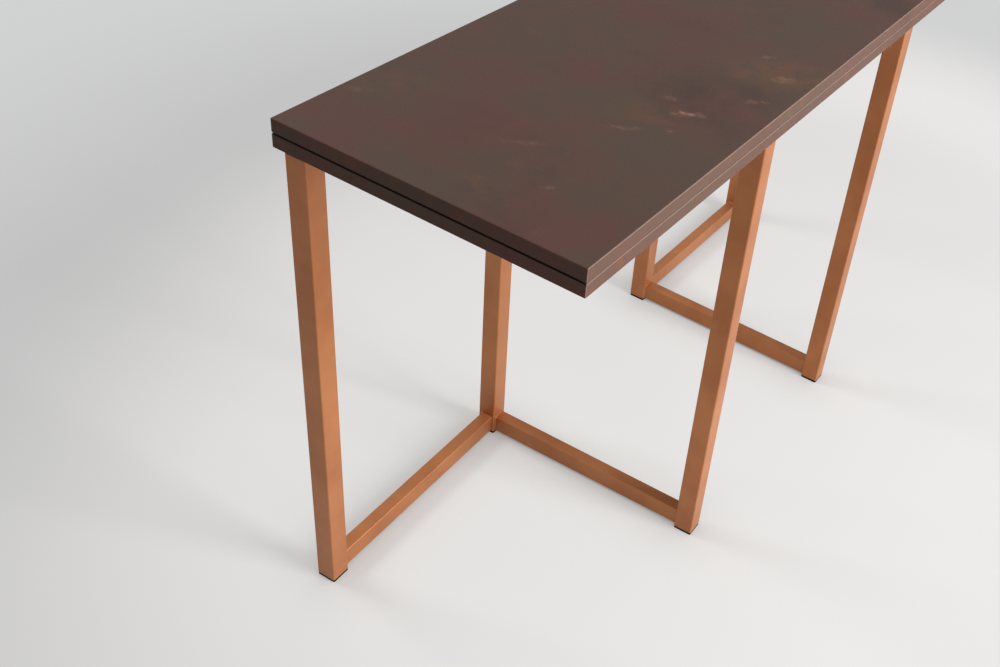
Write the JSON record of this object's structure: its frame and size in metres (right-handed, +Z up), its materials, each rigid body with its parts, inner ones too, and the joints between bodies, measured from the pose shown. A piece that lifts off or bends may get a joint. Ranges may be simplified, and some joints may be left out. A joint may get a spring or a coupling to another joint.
{
  "type": "extending console table",
  "caption": "Narrow console table with a book-folding double top on two swivelling L-shaped square-tube leg frames; opens into a dining table.",
  "frame": {"origin": "bottom centre of the closed table's box, on the floor", "axes": "+Z up, +Y along the top's length, +X across it towards the front long side, away from the hinges"},
  "size_m": [0.4194, 1.268, 0.75],
  "materials": {
    "leaf_laminate": "matt laminate, oxidised metal look",
    "leaf_edging": "matt edge band",
    "copper_lacquer": "satin copper lacquer on steel tube",
    "black_plastic": "moulded matt",
    "nylon": "moulded matt",
    "clear_rubber": "soft translucent",
    "hinge_steel": "bronzed satin",
    "pivot_steel": "zinc plated",
    "screw_steel": "zinc plated"
  },
  "bodies": {
    "top": {"fixed_leaf": "leaf_laminate", "fixed_leaf_edging": "leaf_edging", "leaf_bumpers": "clear_rubber", "hinge_fixed_plates": "hinge_steel", "hinge_pins": "hinge_steel", "hinge_fixed_screws": "screw_steel", "near_pivot_plate": "pivot_steel", "near_pivot_plate_screws": "screw_steel", "near_stop_blocks": "black_plastic", "near_stop_screws": "screw_steel", "far_pivot_plate": "pivot_steel", "far_pivot_plate_screws": "screw_steel", "far_stop_blocks": "black_plastic", "far_stop_screws": "screw_steel"},
    "fold_leaf": {"fold_leaf": "leaf_laminate", "fold_leaf_edging": "leaf_edging", "hinge_fold_plates": "hinge_steel", "hinge_fold_screws": "screw_steel"},
    "near_frame": {"near_corner_leg": "copper_lacquer", "near_end_leg": "copper_lacquer", "near_side_leg": "copper_lacquer", "near_end_rail": "copper_lacquer", "near_cross_rail": "copper_lacquer", "near_end_top_rail": "copper_lacquer", "near_cross_top_rail": "copper_lacquer", "near_corner_cap": "screw_steel", "near_leg_caps": "copper_lacquer", "near_slide_pads": "nylon", "near_feet": "black_plastic", "near_pivot_bolt": "screw_steel", "near_pivot_washer": "nylon"},
    "far_frame": {"far_corner_leg": "copper_lacquer", "far_end_leg": "copper_lacquer", "far_side_leg": "copper_lacquer", "far_end_rail": "copper_lacquer", "far_cross_rail": "copper_lacquer", "far_end_top_rail": "copper_lacquer", "far_cross_top_rail": "copper_lacquer", "far_corner_cap": "screw_steel", "far_leg_caps": "copper_lacquer", "far_slide_pads": "nylon", "far_feet": "black_plastic", "far_pivot_bolt": "screw_steel", "far_pivot_washer": "nylon"}
  },
  "joints": [
    {"name": "top_fold", "type": "hinge", "parent": "top", "child": "fold_leaf", "pos_m": [-0.2067, 0, 0.7315], "axis": [0, -1, 0], "range_deg": [0, 180]},
    {"name": "near_swivel", "type": "hinge", "parent": "top", "child": "near_frame", "pos_m": [-0.189, -0.235, 0.71], "axis": [0, 0, -1], "range_deg": [-0.5, 46.6]},
    {"name": "far_swivel", "type": "hinge", "parent": "top", "child": "far_frame", "pos_m": [-0.189, 0.235, 0.71], "axis": [0, 0, 1], "range_deg": [-2.1, 45]}
  ]
}
